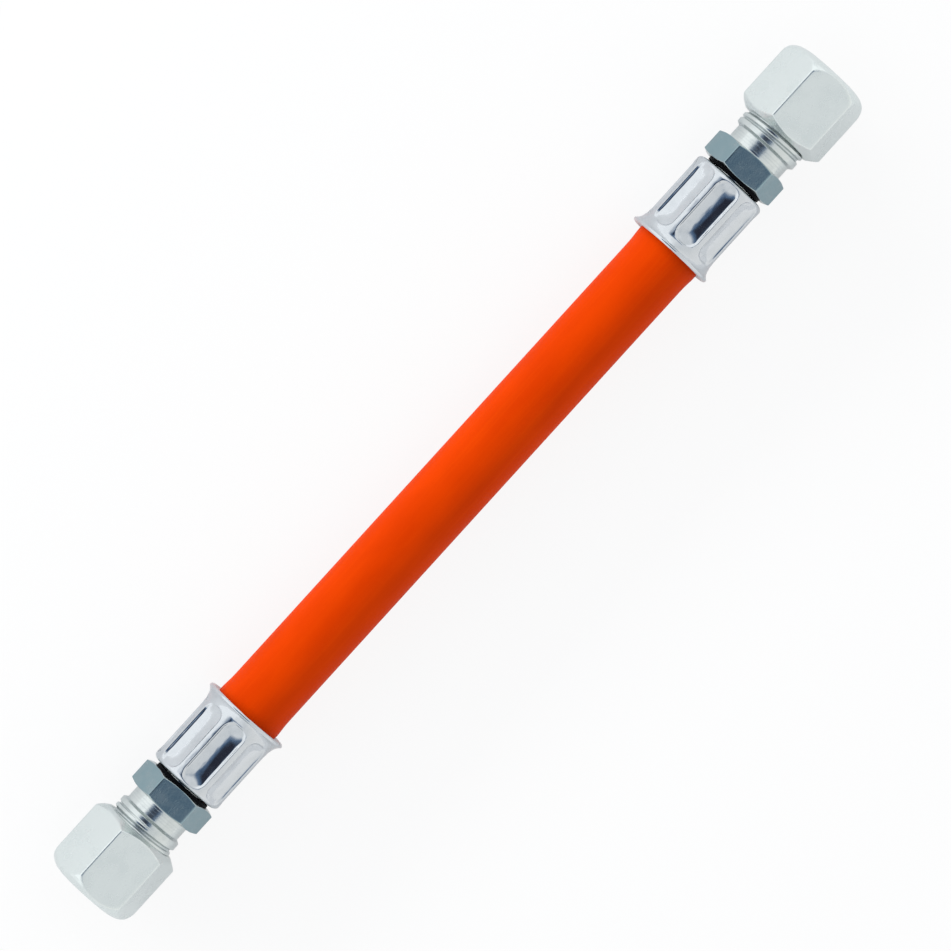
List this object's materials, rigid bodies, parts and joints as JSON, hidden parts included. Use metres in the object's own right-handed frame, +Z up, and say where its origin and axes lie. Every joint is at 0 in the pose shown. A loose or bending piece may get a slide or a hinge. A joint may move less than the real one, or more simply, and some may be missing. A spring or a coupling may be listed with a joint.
{
  "type": "flexible hose",
  "caption": "Straight orange rubber gas hose with crimped steel ferrules and a hexagonal union nut on a threaded compression stud at each end.",
  "frame": {"origin": "middle of the hose's length, on its axis", "axes": "+X along the hose to the end at the picture's upper right, +Z up, square to the surface that the hose lies on"},
  "size_m": [0.205, 0.0196, 0.018],
  "materials": {
    "orange_rubber": "satin",
    "bright_steel": "bright",
    "zinc_smooth": "smooth turned",
    "zinc_satin": "satin",
    "ring_steel": "smooth turned"
  },
  "bodies": {
    "hose_assembly": {"hose": "orange_rubber", "left_ferrule": "bright_steel", "left_hose_tail": "zinc_smooth", "right_ferrule": "bright_steel", "right_hose_tail": "zinc_smooth"},
    "left_ring": {"left_cutting_ring": "ring_steel"},
    "left_nut": {"left_union_nut": "zinc_satin"},
    "right_ring": {"right_cutting_ring": "ring_steel"},
    "right_nut": {"right_union_nut": "zinc_satin"}
  },
  "joints": [
    {"name": "left_nut_travel", "type": "slide", "parent": "hose_assembly", "child": "left_ring", "axis": [-1, 0, 0], "range_m": [0, 0.006]},
    {"name": "left_nut_turn", "type": "hinge", "parent": "left_ring", "child": "left_nut", "pos_m": [-0.0949, 0, 0], "axis": [-1, 0, 0], "range_deg": [0, 1440]},
    {"name": "right_nut_travel", "type": "slide", "parent": "hose_assembly", "child": "right_ring", "axis": [1, 0, 0], "range_m": [0, 0.006]},
    {"name": "right_nut_turn", "type": "hinge", "parent": "right_ring", "child": "right_nut", "pos_m": [0.0949, 0, 0], "axis": [1, 0, 0], "range_deg": [0, 1440]}
  ],
  "couplings": [
    {"joint": "left_nut_travel", "follows": "left_nut_turn", "m_per_rad": 0.00023873},
    {"joint": "right_nut_travel", "follows": "right_nut_turn", "m_per_rad": 0.00023873}
  ]
}
